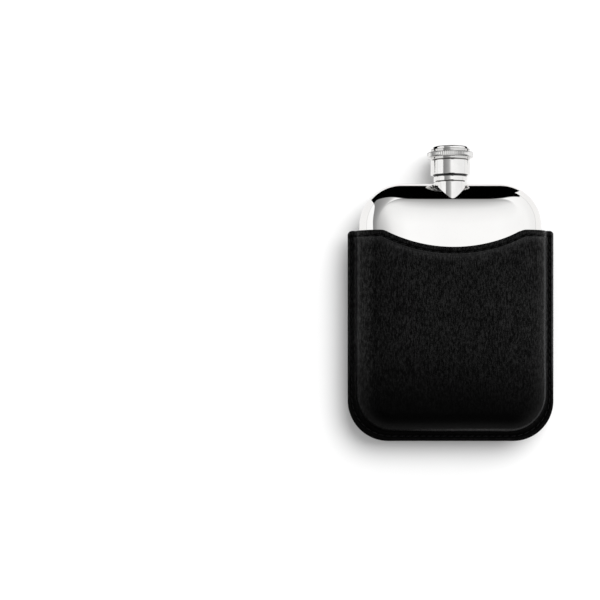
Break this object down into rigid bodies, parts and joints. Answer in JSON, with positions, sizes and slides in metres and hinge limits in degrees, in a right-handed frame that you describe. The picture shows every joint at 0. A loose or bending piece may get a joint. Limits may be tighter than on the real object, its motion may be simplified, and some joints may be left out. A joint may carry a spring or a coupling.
{
  "type": "hip flask",
  "caption": "Pocket hip flask of polished steel with a knurled screw cap, in a moulded leather sleeve that the flask slides out of.",
  "frame": {"origin": "on the floor under the centre of the whole object, which lies on its back", "axes": "+X across the flask, +Y from the sleeve's foot to the cap, +Z out of the front face"},
  "size_m": [0.0896, 0.1282, 0.0228],
  "materials": {
    "polished_steel": "mirror polished",
    "turned_steel": "turned and polished",
    "insert_plastic": "moulded",
    "seal_rubber": "smooth",
    "black_leather": "fine upright grain, satin",
    "lining_cloth": "fine woven",
    "edge_paint": "painted edge",
    "black_thread": "waxed thread"
  },
  "bodies": {
    "sleeve": {"front_leather": "black_leather", "back_leather": "black_leather", "front_lining": "lining_cloth", "back_lining": "lining_cloth", "seam_welt": "edge_paint", "flange_stitching": "black_thread", "front_mouth_stitching": "black_thread", "back_mouth_stitching": "black_thread"},
    "flask": {"front_shell": "polished_steel", "back_shell": "polished_steel", "neck_tube": "turned_steel", "neck_collar": "turned_steel"},
    "seal": {"cap_seal": "seal_rubber"},
    "cap": {"cap_skirt": "turned_steel", "knurled_ring": "turned_steel", "cap_crown": "polished_steel", "thread_insert": "insert_plastic"}
  },
  "joints": [
    {"name": "flask_slide", "type": "slide", "parent": "sleeve", "child": "flask", "axis": [0, 1, 0], "range_m": [0, 0.1]},
    {"name": "cap_rise", "type": "slide", "parent": "flask", "child": "seal", "axis": [0, 1, 0], "range_m": [0, 0.0241]},
    {"name": "cap_turn", "type": "hinge", "parent": "seal", "child": "cap", "pos_m": [0, 0.0589, 0.0093], "axis": [0, 1, 0], "range_deg": [0, 2880]}
  ],
  "couplings": [
    {"joint": "cap_rise", "follows": "cap_turn", "m_per_rad": 0.00047746}
  ]
}
